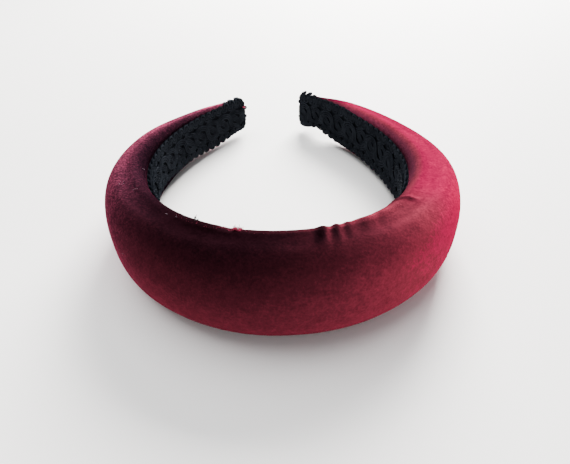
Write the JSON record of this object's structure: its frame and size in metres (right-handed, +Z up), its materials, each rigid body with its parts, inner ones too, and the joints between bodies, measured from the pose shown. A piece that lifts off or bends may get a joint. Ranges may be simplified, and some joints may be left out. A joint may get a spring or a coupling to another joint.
{
  "type": "padded headband",
  "caption": "Open horseshoe headband with a thick velvet pad, widest at the crown and tapering to thin tips, lined on its inner face with a scalloped scroll braid.",
  "frame": {"origin": "on the ground under the middle of the box of the headband as it lies on its side", "axes": "+Z up, across the width of the band; the crown is toward -Y and the two tips point to +Y; +X is the side of the wearer's right ear when the upper edge is worn to the front"},
  "size_m": [0.1578, 0.176, 0.0423],
  "materials": {
    "velvet": "burgundy velvet with a short nap",
    "braid": "black scroll braid with ribbed, scalloped edges"
  },
  "bodies": {
    "root": {"padded_band": "velvet", "braid_lining": "braid"}
  },
  "joints": []
}
